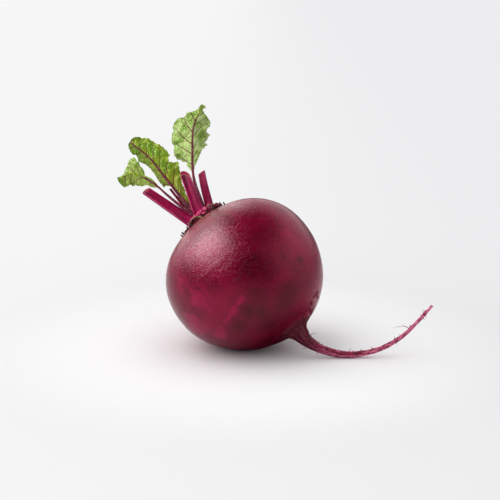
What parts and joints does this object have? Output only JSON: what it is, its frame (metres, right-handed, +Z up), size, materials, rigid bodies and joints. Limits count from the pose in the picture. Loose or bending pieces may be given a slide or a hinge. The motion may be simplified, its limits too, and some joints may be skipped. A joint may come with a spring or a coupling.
{
  "type": "beetroot",
  "caption": "Round root vegetable with a long curling tap root, trimmed leaf stalks and small young leaves, lying on its side on a flat spot.",
  "frame": {"origin": "on the flat spot under the bulb that it rests on, below the bulb's centre", "axes": "+Z up from the surface it lies on, +X towards the side that the tap root runs to, leaves up and back at -X"},
  "size_m": [0.1519, 0.0915, 0.1114],
  "materials": {
    "beet_skin": "satin",
    "stalk": "satin",
    "leaf": "satin",
    "withered": "matte"
  },
  "bodies": {
    "root": {"beet_root": "beet_skin", "cut_stalk_left": "stalk", "cut_stalk_thin": "stalk", "cut_stalk_middle": "stalk", "cut_stalk_right": "stalk", "leaf_upright": "leaf", "leaf_leaning": "leaf", "leaf_folded": "leaf", "leaf_young": "leaf", "withered_stub_01": "withered", "withered_stub_02": "withered", "withered_stub_03": "withered", "withered_stub_04": "withered", "withered_stub_05": "withered", "withered_stub_06": "withered", "withered_stub_07": "withered", "withered_stub_08": "withered", "withered_stub_09": "withered", "withered_stub_10": "withered", "withered_stub_11": "withered", "withered_stub_12": "withered"}
  },
  "joints": []
}
